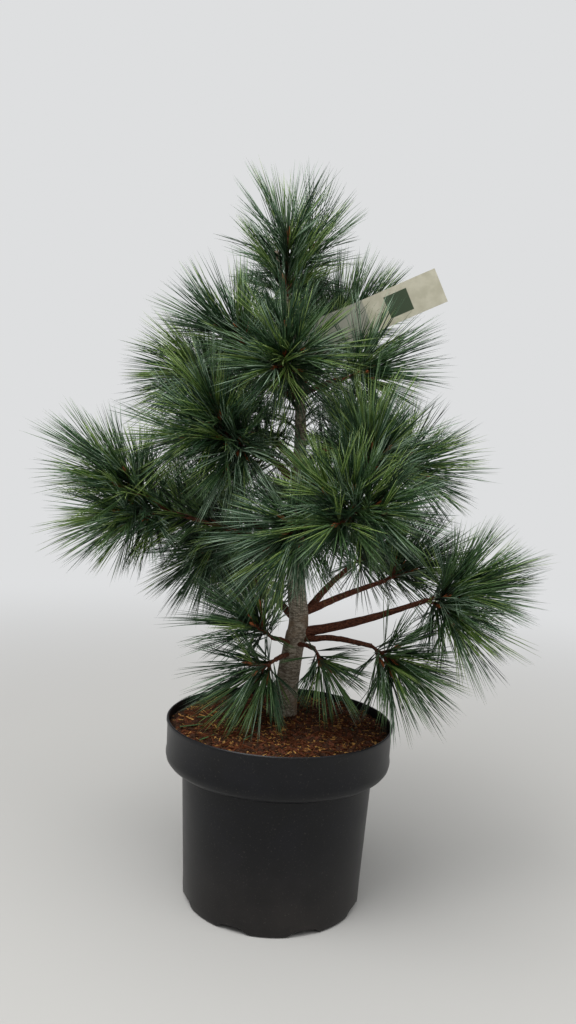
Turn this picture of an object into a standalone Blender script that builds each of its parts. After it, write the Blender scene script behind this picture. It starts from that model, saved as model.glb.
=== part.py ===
"""A young eastern white pine in a round nursery container, about 0.91 m tall.

The tree is built the way it grows. One trunk leans out of the soil and runs up through the
crown as the leader. Whorls of boughs leave it at the ends of its yearly growths. Each bough is
one tapering limb, and it ends where it enters its own mass of needles. The container, the soil
and a bare card label that is looped round the trunk above the top whorl are separate pieces.

Metres, +Z up. The origin is the centre of the container's flat underside. The side that faces
-Y is the front.
"""

import math
from dataclasses import dataclass

import bmesh
import bpy
from mathutils import Matrix, Vector, noise

# Clearance between neighbouring solids
GAP = 0.0003

# Container
POT_HEIGHT = 0.225
POT_FOOT_RADIUS = 0.112
POT_NECK_RADIUS = 0.1205
POT_RIM_RADIUS = 0.1425
COLLAR_HEIGHT = 0.045
SHOULDER_HEIGHT = 0.014
FOOT_ROUNDING = 0.003
WALL = 0.0018
POT_SEGMENTS = 36
NOTCH_COUNT = 8
NOTCH_WIDTH = 0.038
NOTCH_HEIGHT = 0.007
NOTCH_DEPTH = 0.010

# Soil, which is domed a little round the trunk
SOIL_CROWN = 0.2285
SOIL_EDGE_BELOW_RIM = 0.012
SOIL_LUMP = 0.002
TRUNK_SEAT_RADIUS = 0.034

# Trunk: the points that its line passes through, from the soil to the tip of the leader
TRUNK_LINE = (
    (0.002, 0.0, SOIL_CROWN + GAP),
    (0.011, 0.0, 0.309),
    (0.017, 0.0, 0.348),
    (0.010, 0.0, 0.412),
    (0.008, 0.002, 0.520),
    (0.002, 0.0, 0.636),
    (-0.016, 0.0, 0.724),
    (-0.037, 0.0, 0.806),
)
TRUNK_FOOT_RADIUS = 0.0150
TRUNK_WHORL_RADIUS = 0.0062
TRUNK_WHORL_HEIGHT = 0.636
LEADER_TIP_RADIUS = 0.0030
FLARE = 0.0045
FLARE_HEIGHT = 0.022
FLARE_RIBS = 5
TRUNK_SIDES = 12
TRUNK_STATIONS = 20

# Limbs and needles
BOUGH_SIDES = 6
BOUGH_STATIONS = 6
BOUGH_TIP_RADIUS = 0.0028
TUFT_POINTS = 74
TUFT_GAP = 0.0006
TUFT_SOCKET = 0.009
ENTRY_MARGIN = 0.012
TUFT_WIDEST = 0.66
UNEVENNESS = 0.20
RAGGEDNESS = 0.24


@dataclass
class Tuft:
    """A mass of needles on a bough.

    heading and pitch are the way it grows, in degrees, length runs from the bough to the
    furthest needle tips, spread is its width where it is widest, and droop is how far the
    needle tips hang down. A bough's second tuft has a suffix of its own for its name.
    """

    heading: float
    pitch: float
    length: float
    spread: float
    droop: float = 0.010
    suffix: str = ""


@dataclass
class Bough:
    """A bough, which ends where it enters its needles.

    foot is the height where it leaves the trunk. heading is its compass direction seen from
    above, in degrees: 0 is the viewer's right, 90 the back, 180 the left and 270 the front.
    reach is how far its end is from the container's axis, height is how high that end is, and
    arch lifts its middle off the straight line.
    """

    name: str
    foot: float
    heading: float
    reach: float
    height: float
    radius: float
    arch: float
    tufts: tuple


BOUGHS = (
    # Short shoots at the foot of the crown, in front of the trunk
    Bough("low_left", 0.316, 250, 0.043, 0.335, 0.0030, 0.003, (Tuft(204, 38, 0.127, 0.145),)),
    Bough("low_front", 0.306, 258, 0.042, 0.309, 0.0028, 0.002, (Tuft(226, -24, 0.134, 0.125, 0.02),)),
    Bough("low_mid", 0.317, 313, 0.054, 0.325, 0.0030, 0.003, (Tuft(308, -36, 0.108, 0.125, 0.02),)),
    # The lowest whorl
    Bough("low_right", 0.326, 339, 0.114, 0.332, 0.0045, 0.006, (Tuft(330, -20, 0.132, 0.130, 0.02),)),
    Bough(
        "right_long", 0.333, 347, 0.176, 0.392, 0.0070, -0.004,
        (Tuft(343, 19, 0.157, 0.150), Tuft(333, -18, 0.140, 0.125, 0.01, "_low")),
    ),
    Bough("right_inner", 0.358, 17, 0.133, 0.402, 0.0055, 0.002, (Tuft(22, 36, 0.133, 0.140),)),
    Bough("low_back", 0.345, 118, 0.095, 0.385, 0.0055, 0.006, (Tuft(120, 15, 0.150, 0.160),)),
    Bough("low_back_right", 0.350, 47, 0.130, 0.415, 0.0055, 0.005, (Tuft(45, 18, 0.145, 0.155),)),
    # The second whorl
    Bough("left_low", 0.420, 161, 0.092, 0.444, 0.0045, 0.006, (Tuft(180, -32, 0.112, 0.130),)),
    Bough(
        "left_long", 0.428, 186, 0.153, 0.480, 0.0062, 0.008,
        (Tuft(192, -3, 0.165, 0.135), Tuft(196, 27, 0.200, 0.140, 0.01, "_high")),
    ),
    Bough("front_left", 0.436, 281, 0.122, 0.482, 0.0048, 0.008, (Tuft(223, -16, 0.135, 0.140, 0.02),)),
    Bough("front_right", 0.440, 299, 0.138, 0.489, 0.0056, 0.006, (Tuft(273, 24, 0.142, 0.185),)),
    Bough("mid_back_left", 0.432, 138, 0.120, 0.475, 0.0056, 0.008, (Tuft(140, 12, 0.160, 0.170),)),
    Bough("mid_back", 0.440, 86, 0.110, 0.475, 0.0054, 0.008, (Tuft(86, 8, 0.160, 0.170),)),
    # The third whorl
    Bough(
        "mid_left", 0.522, 211, 0.077, 0.572, 0.0048, 0.006,
        (Tuft(226, 12, 0.157, 0.165), Tuft(262, -24, 0.125, 0.140, 0.01, "_low")),
    ),
    Bough("mid_front", 0.520, 316, 0.120, 0.532, 0.0048, 0.006, (Tuft(272, 42, 0.138, 0.165),)),
    Bough("mid_right", 0.528, 349, 0.115, 0.540, 0.0050, 0.006, (Tuft(352, 18, 0.118, 0.150),)),
    Bough("back_right", 0.538, 56, 0.105, 0.575, 0.0050, 0.008, (Tuft(58, 22, 0.152, 0.175),)),
    Bough("back_left", 0.545, 132, 0.095, 0.590, 0.0050, 0.008, (Tuft(130, 18, 0.155, 0.175),)),
    # The top whorl
    Bough("upper_side", 0.628, 180, 0.088, 0.649, 0.0040, 0.006, (Tuft(176, 1, 0.147, 0.128),)),
    Bough("upper_left", 0.636, 206, 0.067, 0.675, 0.0038, 0.005, (Tuft(221, 46, 0.130, 0.130),)),
    Bough("upper_front", 0.630, 256, 0.060, 0.655, 0.0038, 0.005, (Tuft(266, 10, 0.155, 0.155),)),
    Bough("upper_right", 0.631, 339, 0.060, 0.654, 0.0042, 0.003, (Tuft(335, 20, 0.142, 0.140),)),
    Bough("upper_back_right", 0.640, 47, 0.055, 0.690, 0.0040, 0.006, (Tuft(44, 57, 0.172, 0.135),)),
    Bough("upper_back", 0.634, 80, 0.048, 0.688, 0.0040, 0.006, (Tuft(70, 64, 0.172, 0.130),)),
    Bough("upper_back_left", 0.628, 138, 0.060, 0.665, 0.0040, 0.006, (Tuft(138, 38, 0.145, 0.150),)),
)

# The leader's own needles, which start this far below the trunk's tip
LEADER_BARE_TOP = 0.088
LEADER_TUFT = Tuft(180, 86, 0.195, 0.160, 0.0)

# Card label, looped round the trunk just above the top whorl
LABEL_HEIGHT = 0.689
LABEL_HEADING = -3.0
LABEL_RISE = 25.5
LABEL_REACH = 0.193
LABEL_WIDTH = 0.043
LABEL_THICKNESS = 0.0006
LABEL_TONGUE_WIDTH = 0.010
LABEL_TONGUE_REACH = 0.024
LABEL_LOOP_RADIUS = 0.0074
LABEL_BOW = 0.005

# Colours, sRGB
COLOURS = {
    "pot": ((0x1F, 0x20, 0x25), 0.42),
    "soil": ((0x3A, 0x25, 0x17), 0.95),
    "bark": ((0x86, 0x79, 0x6C), 0.85),
    "young_bark": ((0x6B, 0x3A, 0x28), 0.8),
    "needles": ((0x35, 0x56, 0x3C), 0.6),
    "card": ((0xCF, 0xC3, 0x98), 0.6),
}


def clear_scene():
    for obj in list(bpy.data.objects):
        bpy.data.objects.remove(obj, do_unlink=True)


def linear(channel):
    value = channel / 255
    return value / 12.92 if value <= 0.04045 else ((value + 0.055) / 1.055) ** 2.4


def material(name):
    found = bpy.data.materials.get(name)
    if found:
        return found
    colour, roughness = COLOURS[name]
    made = bpy.data.materials.new(name)
    made.use_nodes = True
    shader = made.node_tree.nodes["Principled BSDF"]
    shader.inputs["Base Color"].default_value = (*(linear(c) for c in colour), 1)
    shader.inputs["Roughness"].default_value = roughness
    return made


def object_from(name, shape, surface, smooth=True):
    """Turn a bmesh into a named object with its faces pointing out."""
    bmesh.ops.recalc_face_normals(shape, faces=shape.faces)
    mesh = bpy.data.meshes.new(name)
    shape.to_mesh(mesh)
    shape.free()
    if smooth:
        mesh.shade_smooth()
        mesh.set_sharp_from_angle(angle=math.radians(40))
    made = bpy.data.objects.new(name, mesh)
    made.data.materials.append(material(surface))
    bpy.context.scene.collection.objects.link(made)
    return made


def cut(target, cutters):
    """Cut each cutter out of the target, and keep the largest piece that is left."""
    for cutter in cutters:
        boolean = target.modifiers.new("cut", "BOOLEAN")
        boolean.object = cutter
        boolean.operation = "DIFFERENCE"
        boolean.solver = "EXACT"
    bpy.context.view_layer.update()
    graph = bpy.context.evaluated_depsgraph_get()
    whole = bpy.data.meshes.new_from_object(target.evaluated_get(graph))
    target.modifiers.clear()
    shape = bmesh.new()
    shape.from_mesh(whole)
    bmesh.ops.triangulate(shape, faces=shape.faces)
    keep_largest_piece(shape)
    shape.to_mesh(target.data)
    shape.free()
    bpy.data.meshes.remove(whole)


def keep_largest_piece(shape):
    pieces, seen = [], set()
    for start in shape.verts:
        if start in seen:
            continue
        piece, front = {start}, [start]
        while front:
            for edge in front.pop().link_edges:
                for vert in edge.verts:
                    if vert not in piece:
                        piece.add(vert)
                        front.append(vert)
        seen |= piece
        pieces.append(piece)
    pieces.sort(key=len)
    for piece in pieces[:-1]:
        bmesh.ops.delete(shape, geom=list(piece), context="VERTS")


def smooth_line(points, count):
    """count points along a smooth curve that passes through the given points."""
    points = [Vector(p) for p in points]
    ends = [2 * points[0] - points[1], *points, 2 * points[-1] - points[-2]]
    line = []
    for step in range(count):
        place = step / (count - 1) * (len(points) - 1)
        i = min(int(place), len(points) - 2)
        t = place - i
        a, b, c, d = ends[i : i + 4]
        line.append(
            0.5
            * (2 * b + (c - a) * t + (2 * a - 5 * b + 4 * c - d) * t**2 + (3 * b - a - 3 * c + d) * t**3)
        )
    return line


def tube(line, radii, sides, flat_start=False, flare=None):
    """A closed tapering limb along a line. flare(step, angle) adds to the radius."""
    shape = bmesh.new()
    rings = []
    across = Vector((1, 0, 0))
    for step, centre in enumerate(line):
        before, after = line[max(step - 1, 0)], line[min(step + 1, len(line) - 1)]
        along = Vector((0, 0, 1)) if flat_start and step == 0 else (after - before).normalized()
        across = (across - along * across.dot(along)).normalized()
        side = along.cross(across)
        ring = []
        for k in range(sides):
            angle = math.tau * k / sides
            radius = radii[step] + (flare(step, angle) if flare else 0)
            ring.append(
                shape.verts.new(centre + radius * (math.cos(angle) * across + math.sin(angle) * side))
            )
        rings.append(ring)
    for low, high in zip(rings, rings[1:]):
        for k in range(sides):
            n = (k + 1) % sides
            shape.faces.new((low[k], low[n], high[n], high[k]))
    shape.faces.new(rings[0][::-1])
    shape.faces.new(rings[-1])
    return shape


def turned(profile, segments, top=None):
    """A solid of revolution from (radius, height) pairs; a radius of 0 is on the axis.

    top(radius, angle, height) may move the points up or down.
    """
    shape = bmesh.new()
    rings = []
    for radius, height in profile:
        if radius == 0:
            rings.append([shape.verts.new((0, 0, height))])
            continue
        ring = []
        for k in range(segments):
            angle = math.tau * k / segments
            z = top(radius, angle, height) if top else height
            ring.append(shape.verts.new((radius * math.cos(angle), radius * math.sin(angle), z)))
        rings.append(ring)
    for low, high in zip(rings, rings[1:]):
        for k in range(segments):
            n = (k + 1) % segments
            if len(low) == 1:
                shape.faces.new((low[0], high[n], high[k]))
            elif len(high) == 1:
                shape.faces.new((low[k], low[n], high[0]))
            else:
                shape.faces.new((low[k], low[n], high[n], high[k]))
    return shape


def pot_outline():
    """(radius, height) pairs up the outside of the container, from its foot to its lip."""
    shoulder_top = POT_HEIGHT - COLLAR_HEIGHT
    neck_height = shoulder_top - SHOULDER_HEIGHT
    outline = [
        (POT_FOOT_RADIUS - FOOT_ROUNDING, 0),
        (POT_FOOT_RADIUS, FOOT_ROUNDING),
        (POT_NECK_RADIUS, neck_height),
    ]
    step_out = POT_RIM_RADIUS - 0.001 - POT_NECK_RADIUS
    for quarter in (0.35, 0.7, 1.0):
        angle = quarter * math.pi / 2
        outline.append(
            (POT_NECK_RADIUS + step_out * math.sin(angle), shoulder_top - SHOULDER_HEIGHT * math.cos(angle))
        )
    outline.append((POT_RIM_RADIUS, POT_HEIGHT))
    return outline


def inset_outline(outline, distance):
    """The same outline moved inwards, square to itself."""
    moved = []
    for i, (radius, height) in enumerate(outline):
        r0, z0 = outline[max(i - 1, 0)]
        r1, z1 = outline[min(i + 1, len(outline) - 1)]
        length = math.hypot(r1 - r0, z1 - z0)
        moved.append((radius - distance * (z1 - z0) / length, height + distance * (r1 - r0) / length))
    return moved


def make_pot():
    outline = pot_outline()
    inside = inset_outline(outline, WALL)
    inside[0] = (inside[1][0] - 0.001, WALL)
    inside[-1] = (POT_RIM_RADIUS - WALL, POT_HEIGHT)
    profile = [(0, 0), *outline, *reversed(inside), (0, WALL)]
    pot = object_from("pot", turned(profile, POT_SEGMENTS), "pot")
    cutters = [notch_cutter(k) for k in range(NOTCH_COUNT)]
    cut(pot, cutters)
    for cutter in cutters:
        bpy.data.objects.remove(cutter)
    return pot


def notch_cutter(k):
    """A block that cuts one drainage notch out of the foot of the container."""
    shape = bmesh.new()
    size = (2 * NOTCH_DEPTH, NOTCH_WIDTH, 2 * NOTCH_HEIGHT)
    bmesh.ops.create_cube(shape, size=1, matrix=Matrix.Diagonal((*size, 1)))
    turn = Matrix.Rotation(math.tau * (k + 0.5) / NOTCH_COUNT, 4, "Z")
    shift = Matrix.Translation((POT_FOOT_RADIUS, 0, 0))
    bmesh.ops.transform(shape, matrix=turn @ shift, verts=shape.verts)
    return object_from(f"notch_cutter_{k}", shape, "pot", smooth=False)


def soil_height(radius, angle, height):
    """Height of the soil's surface: flat where the trunk stands, lumpy further out."""
    edge = POT_HEIGHT - SOIL_EDGE_BELOW_RIM
    if height < edge:
        return height
    away = max(0.0, (radius - TRUNK_SEAT_RADIUS) / (POT_RIM_RADIUS - TRUNK_SEAT_RADIUS))
    x, y = 30 * radius * math.cos(angle), 30 * radius * math.sin(angle)
    lump = SOIL_LUMP * noise.noise(Vector((x, y, 4.2))) * min(1, 4 * away)
    return SOIL_CROWN - (SOIL_CROWN - edge) * away**1.6 + lump


def make_soil():
    outline = inset_outline(pot_outline(), WALL + GAP)
    edge = POT_HEIGHT - SOIL_EDGE_BELOW_RIM
    foot_radius = POT_FOOT_RADIUS - NOTCH_DEPTH - GAP - 0.001
    side = [(r, z) for r, z in outline[2:] if z < edge - 0.004]
    top_radius = POT_RIM_RADIUS - 0.001 - WALL - GAP
    rings = [top_radius, 0.117, 0.092, 0.063, TRUNK_SEAT_RADIUS, 0.012]
    profile = [
        (0, WALL + GAP),
        (foot_radius, WALL + GAP),
        (foot_radius, NOTCH_HEIGHT + GAP),
        (outline[1][0], NOTCH_HEIGHT + 0.004),
        *side,
        *((radius, edge) for radius in rings),
        (0, SOIL_CROWN),
    ]
    return object_from("soil", turned(profile, POT_SEGMENTS, soil_height), "soil")


def trunk_radius(height):
    """Radius of the trunk at a height, without its root flare."""
    foot, whorl, tip = TRUNK_LINE[0][2], TRUNK_WHORL_HEIGHT, TRUNK_LINE[-1][2]
    if height < whorl:
        t = (height - foot) / (whorl - foot)
        return TRUNK_FOOT_RADIUS + (TRUNK_WHORL_RADIUS - TRUNK_FOOT_RADIUS) * t
    t = (height - whorl) / (tip - whorl)
    return TRUNK_WHORL_RADIUS + (LEADER_TIP_RADIUS - TRUNK_WHORL_RADIUS) * t


def trunk_shape(swell=0.0):
    line = smooth_line(TRUNK_LINE, TRUNK_STATIONS)
    if swell:
        line[0] = line[0] - Vector((0, 0, swell))
        line[-1] = line[-1] + swell * (line[-1] - line[-2]).normalized()
    radii = [trunk_radius(p.z) + swell for p in line]

    def flare(step, angle):
        fade = math.exp(-(line[step].z - line[0].z) / FLARE_HEIGHT)
        return FLARE * fade * (1 + 0.35 * math.cos(FLARE_RIBS * angle + 0.6))

    return tube(line, radii, TRUNK_SIDES, flat_start=True, flare=flare)


def trunk_point(height):
    """The point of the trunk's line at a height."""
    line = smooth_line(TRUNK_LINE, 200)
    return min(line, key=lambda p: abs(p.z - height))


def direction_vector(heading, pitch=0.0):
    heading, pitch = math.radians(heading), math.radians(pitch)
    return Vector(
        (math.cos(heading) * math.cos(pitch), math.sin(heading) * math.cos(pitch), math.sin(pitch))
    )


def bough_line(bough, count=BOUGH_STATIONS):
    """Points along the bough from the trunk's line to the bough's end."""
    start = trunk_point(bough.foot)
    end = bough.reach * direction_vector(bough.heading) + Vector((0, 0, bough.height))
    middle = (start + end) / 2 + Vector((0, 0, bough.arch))
    return smooth_line((start, middle, end), count)


def bough_shape(bough, swell=0.0):
    line = bough_line(bough)
    if swell:
        line[-1] = line[-1] + swell * (line[-1] - line[-2]).normalized()
    last = len(line) - 1
    radii = [bough.radius + (BOUGH_TIP_RADIUS - bough.radius) * i / last + swell for i in range(last + 1)]
    return tube(line, radii, BOUGH_SIDES)


class Mass:
    """A tuft's solid: a point where its limb enters, widest past the middle, uneven all round."""

    def __init__(self, name, seed, entry, tuft):
        self.name, self.seed, self.entry, self.tuft = name, seed, entry, tuft
        self.axis = direction_vector(tuft.heading, tuft.pitch)
        self.centre = entry + 0.60 * tuft.length * self.axis - Vector((0, 0, 0.36 * tuft.droop))
        self.size = 0.5 * (tuft.length * tuft.spread**2) ** (1 / 3)

    def holds(self, point):
        """Whether the point is inside the even shape, before unevenness."""
        offset = point - self.entry
        along = offset.dot(self.axis) / self.tuft.length
        if not 0 < along < 1:
            return False
        offset.z += self.tuft.droop * along**2
        across = (offset - self.axis * offset.dot(self.axis)).length
        if along < TUFT_WIDEST:
            share = (along / TUFT_WIDEST) ** 0.75
        else:
            share = math.sqrt(1 - ((along - TUFT_WIDEST) / (1 - TUFT_WIDEST)) ** 2)
        return across < 0.5 * self.tuft.spread * share

    def radius(self, direction):
        """Distance from the centre to the uneven surface."""
        low, high = 0.0, 0.25
        for _ in range(18):
            middle = (low + high) / 2
            if self.holds(self.centre + middle * direction):
                low = middle
            else:
                high = middle
        place = Vector((3.1 * self.seed, 1.7, 0.4))
        swell = UNEVENNESS * noise.noise(2.1 * direction + place)
        rag = RAGGEDNESS * noise.noise(7.0 * direction + place)
        share = min(1, 2 * (1 + direction.dot(self.axis)))
        return low * (1 + share * (swell + rag))


def all_masses():
    masses = []
    for bough in BOUGHS:
        line = bough_line(bough)
        entry = line[-1] - TUFT_SOCKET * (line[-1] - line[-2]).normalized()
        for tuft in bough.tufts:
            masses.append(Mass(f"needles_{bough.name}{tuft.suffix}", len(masses), entry, tuft))
    tip = Vector(TRUNK_LINE[-1])
    below = (tip - Vector(TRUNK_LINE[-2])).normalized()
    masses.append(Mass("needles_leader", len(masses), tip - LEADER_BARE_TOP * below, LEADER_TUFT))
    return masses


def label_frame():
    """The label's loop centre, its long direction, its width direction and its back's direction."""
    centre = trunk_point(LABEL_HEIGHT)
    along = direction_vector(LABEL_HEADING, LABEL_RISE)
    back = Vector((0, 0, 1)).cross(along).normalized()
    return centre, along, along.cross(back), back


def label_shape(swell=0.0):
    """A card strip whose narrow tongue is bent into a loop round the trunk."""
    centre, along, across, back = label_frame()
    half = LABEL_THICKNESS / 2 + swell
    stations = []
    for step in range(13):
        angle = math.radians(-90 - 27 * (12 - step))
        out = math.cos(angle) * along + math.sin(angle) * back
        stations.append((centre + LABEL_LOOP_RADIUS * out, out, LABEL_TONGUE_WIDTH / 2))
    start, card_start = 0.004, LABEL_TONGUE_REACH
    for step in range(11):
        reach = start + (LABEL_REACH - start) * step / 10
        share = min(1, max(0, (reach - card_start + 0.018) / 0.018))
        width = LABEL_TONGUE_WIDTH + (LABEL_WIDTH - LABEL_TONGUE_WIDTH) * math.sin(share * math.pi / 2)
        bow = LABEL_LOOP_RADIUS - LABEL_BOW * math.sin(math.pi * reach / LABEL_REACH) ** 2
        stations.append((centre + reach * along - bow * back, -back, width / 2))
    shape = bmesh.new()
    rings = []
    for place, out, width in stations:
        corners = ((-1, -1), (1, -1), (1, 1), (-1, 1))
        rings.append(
            [shape.verts.new(place + a * half * out + b * (width + swell) * across) for a, b in corners]
        )
    for low, high in zip(rings, rings[1:]):
        for k in range(4):
            n = (k + 1) % 4
            shape.faces.new((low[k], low[n], high[n], high[k]))
    shape.faces.new(rings[0][::-1])
    shape.faces.new(rings[-1])
    return shape


def even_directions(count, axis):
    """Directions spread evenly over the sphere along a spiral, with one at each end of the axis."""
    turn = Vector((0, 0, 1)).rotation_difference(axis)
    golden = math.pi * (3 - math.sqrt(5))
    for k in range(count):
        z = 1 - 2 * k / (count - 1)
        ring = math.sqrt(max(0.0, 1 - z * z))
        yield turn @ Vector((ring * math.cos(golden * k), ring * math.sin(golden * k), z))


def wall_between(mass, other):
    """(direction, distance) of the flat side that keeps a mass apart from another one.

    Two masses on one bough are parted through the point where both begin. Any other two are
    parted between their centres, shared by size, with room left for each one's entry.
    """
    if mass.entry == other.entry:
        towards = (other.axis - mass.axis).normalized()
        return towards, (mass.entry - mass.centre).dot(towards) - TUFT_GAP / 2
    between = other.centre - mass.centre
    towards = between.normalized()
    share = mass.size / (mass.size + other.size)
    own = (mass.entry - mass.centre).dot(towards) + ENTRY_MARGIN
    others = (other.entry - mass.centre).dot(towards) - ENTRY_MARGIN
    place = min(max(share * between.length, own), others) if own < others else share * between.length
    return towards, place - TUFT_GAP / 2


def label_wall(mass):
    """The flat side that keeps a mass off the label, or nothing if the label is out of reach."""
    centre, along, across, back = label_frame()
    card = centre + 0.5 * LABEL_REACH * along - LABEL_LOOP_RADIUS * back
    offset = mass.centre - card
    if abs(offset.dot(along)) > LABEL_REACH / 2 + mass.size:
        return []
    if abs(offset.dot(across)) > LABEL_WIDTH / 2 + mass.size:
        return []
    distance = offset.dot(back)
    facing = -back if distance > 0 else back
    return [(facing, abs(distance) - LABEL_BOW - TUFT_GAP)]


def make_mass(mass, others):
    """Build a mass, flattened where it meets its neighbours so that a narrow gap stays."""
    shape = bmesh.new()
    directions = list(even_directions(TUFT_POINTS, mass.axis))
    verts = [shape.verts.new(direction) for direction in directions]
    bmesh.ops.convex_hull(shape, input=verts)
    walls = [wall_between(mass, other) for other in others] + label_wall(mass)
    for vert, direction in zip(verts, directions):
        radius = mass.radius(direction)
        for facing, distance in walls:
            towards = direction.dot(facing)
            if towards > 0:
                radius = min(radius, distance / towards)
        vert.co = mass.centre + radius * direction
    return object_from(mass.name, shape, "needles")


def bounds(obj):
    points = [obj.matrix_world @ v.co for v in obj.data.vertices]
    return [(min(p[i] for p in points), max(p[i] for p in points)) for i in range(3)]


def meet(a, b):
    return all(p[0] < q[1] and q[0] < p[1] for p, q in zip(bounds(a), bounds(b)))


def make_keep_out():
    """The space of the container and its soil, which needles that hang over the rim stay out of."""
    margin = 2 * GAP
    profile = [
        (0, POT_HEIGHT - COLLAR_HEIGHT - 0.02),
        (POT_RIM_RADIUS + margin, POT_HEIGHT - COLLAR_HEIGHT - 0.02),
        (POT_RIM_RADIUS + margin, POT_HEIGHT + margin),
        (POT_RIM_RADIUS - WALL, POT_HEIGHT + margin),
        (0, SOIL_CROWN + SOIL_LUMP),
    ]
    return object_from("keep_out", turned(profile, POT_SEGMENTS), "soil", smooth=False)


def main():
    clear_scene()
    make_pot()
    make_soil()
    object_from("trunk", trunk_shape(), "bark")
    object_from("plant_label", label_shape(), "card", smooth=False)
    wide_trunk = object_from("wide_trunk", trunk_shape(GAP), "bark")
    wide_label = object_from("wide_label", label_shape(GAP), "card")
    wide_boughs = []
    for bough in BOUGHS:
        limb = object_from(f"bough_{bough.name}", bough_shape(bough), "young_bark")
        cut(limb, [wide_trunk, *(wide for wide in wide_boughs if meet(limb, wide))])
        wide_boughs.append(object_from(f"wide_{bough.name}", bough_shape(bough, GAP), "young_bark"))
    helpers = [wide_trunk, wide_label, make_keep_out(), *wide_boughs]
    masses = all_masses()
    for mass in masses:
        solid = make_mass(mass, [other for other in masses if other is not mass])
        cut(solid, [helper for helper in helpers if meet(solid, helper)])
    for helper in helpers:
        bpy.data.objects.remove(helper)


main()
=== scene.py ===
# %% [markdown]
# A young eastern white pine in a nursery container. The imported model gives the frame: one
# trunk, whorls of boughs, and a plain solid where each tuft of needles is. This script keeps
# every piece where it is and gives it its looks. It starts by loading that frame.

# %% The frame
import math

import bmesh
import bpy
import numpy as np
from mathutils import Matrix, Vector, noise
from mathutils.bvhtree import BVHTree


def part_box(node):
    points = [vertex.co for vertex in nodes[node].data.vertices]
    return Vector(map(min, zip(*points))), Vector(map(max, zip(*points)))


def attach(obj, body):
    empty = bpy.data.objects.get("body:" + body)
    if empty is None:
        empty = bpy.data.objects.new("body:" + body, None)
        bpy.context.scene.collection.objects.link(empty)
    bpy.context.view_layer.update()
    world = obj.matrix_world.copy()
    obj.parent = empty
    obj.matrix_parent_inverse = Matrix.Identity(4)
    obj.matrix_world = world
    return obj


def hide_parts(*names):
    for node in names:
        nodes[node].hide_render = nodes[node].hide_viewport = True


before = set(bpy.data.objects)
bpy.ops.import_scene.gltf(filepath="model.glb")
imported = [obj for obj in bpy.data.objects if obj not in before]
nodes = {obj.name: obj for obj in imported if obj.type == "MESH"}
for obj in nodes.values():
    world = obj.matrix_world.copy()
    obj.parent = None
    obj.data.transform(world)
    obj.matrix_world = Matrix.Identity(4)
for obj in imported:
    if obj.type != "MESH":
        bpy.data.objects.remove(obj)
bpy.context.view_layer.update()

bough_names = sorted(name for name in nodes if name.startswith("bough_"))
mass_names = sorted(name for name in nodes if name.startswith("needles_"))
print("boughs", len(bough_names), "masses", len(mass_names))

# %% [markdown]
# The camera stands where the photograph was taken from: about a metre from the container's
# axis, a little above the middle of the plant, looking slightly down. The picture leans, so the
# camera is rolled. Its focal length is given in pixels of the 576 x 1024 picture, and the
# sensor's width lies along the long side.

# %% Camera
PICTURE_LONG_SIDE = 1024
FOCAL_PIXELS = 828.4
SENSOR_MM = 36.0
CAMERA_PLACE = (0.0, -1.0355, 0.5494)
CAMERA_PITCH = math.radians(3.47)
CAMERA_ROLL = math.radians(3.20)
CAMERA_YAW = math.radians(-0.23)

camera_data = bpy.data.cameras.new("camera")
camera_data.sensor_fit = "AUTO"
camera_data.sensor_width = SENSOR_MM
camera_data.lens = FOCAL_PIXELS * SENSOR_MM / PICTURE_LONG_SIDE
camera = bpy.data.objects.new("camera", camera_data)
bpy.context.scene.collection.objects.link(camera)
facing = Matrix.Rotation(-CAMERA_YAW, 4, "Z") @ Matrix.Rotation(math.pi / 2 - CAMERA_PITCH, 4, "X")
camera.matrix_world = Matrix.Translation(CAMERA_PLACE) @ facing @ Matrix.Rotation(CAMERA_ROLL, 4, "Z")
bpy.context.scene.camera = camera
print("lens", round(camera_data.lens, 2), "mm")

# %% [markdown]
# A material here is a small graph of shader nodes. One function adds a node, sets its
# properties and inputs, and joins links that are given as output sockets. Colours are written
# the way a picture shows them and turned to linear light by one function.

# %% Shader helpers
def linear(hex_colour):
    """An sRGB colour such as 3a2517 as linear red, green, blue and alpha."""
    channels = [int(hex_colour[i : i + 2], 16) / 255 for i in (0, 2, 4)]
    return (*(c / 12.92 if c <= 0.04045 else ((c + 0.055) / 1.055) ** 2.4 for c in channels), 1.0)


def add_node(tree, kind, inputs=None, **settings):
    """Add a node; an input's value may be a number, a colour, a vector or another node's output."""
    node = tree.nodes.new(kind)
    for name, value in settings.items():
        setattr(node, name, value)
    for name, value in (inputs or {}).items():
        if isinstance(value, bpy.types.NodeSocket):
            tree.links.new(value, node.inputs[name])
        else:
            node.inputs[name].default_value = value
    return node


def new_material(name, hex_colour, roughness, specular=0.5):
    """A material with a Principled shader, its node tree and the shader."""
    made = bpy.data.materials.new(name)
    made.use_nodes = True
    tree = made.node_tree
    shader = tree.nodes["Principled BSDF"]
    shader.inputs["Base Color"].default_value = linear(hex_colour)
    shader.inputs["Roughness"].default_value = roughness
    shader.inputs["Specular IOR Level"].default_value = specular
    return made, tree, shader


def mixed(tree, factor, low, high):
    """A colour between two others, each a hex colour or an output.

    Sockets 6 and 7 are the mix node's two colours, and its output 2 is their mixture.
    """
    low = linear(low) if isinstance(low, str) else low
    high = linear(high) if isinstance(high, str) else high
    return add_node(tree, "ShaderNodeMix", {0: factor, 6: low, 7: high}, data_type="RGBA").outputs[2]


def stepped(tree, value, low, high):
    """The value turned to 0 at low and 1 at high, with a smooth rise between them."""
    inputs = {"Value": value, "From Min": low, "From Max": high}
    return add_node(tree, "ShaderNodeMapRange", inputs, interpolation_type="SMOOTHSTEP").outputs[0]


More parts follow.
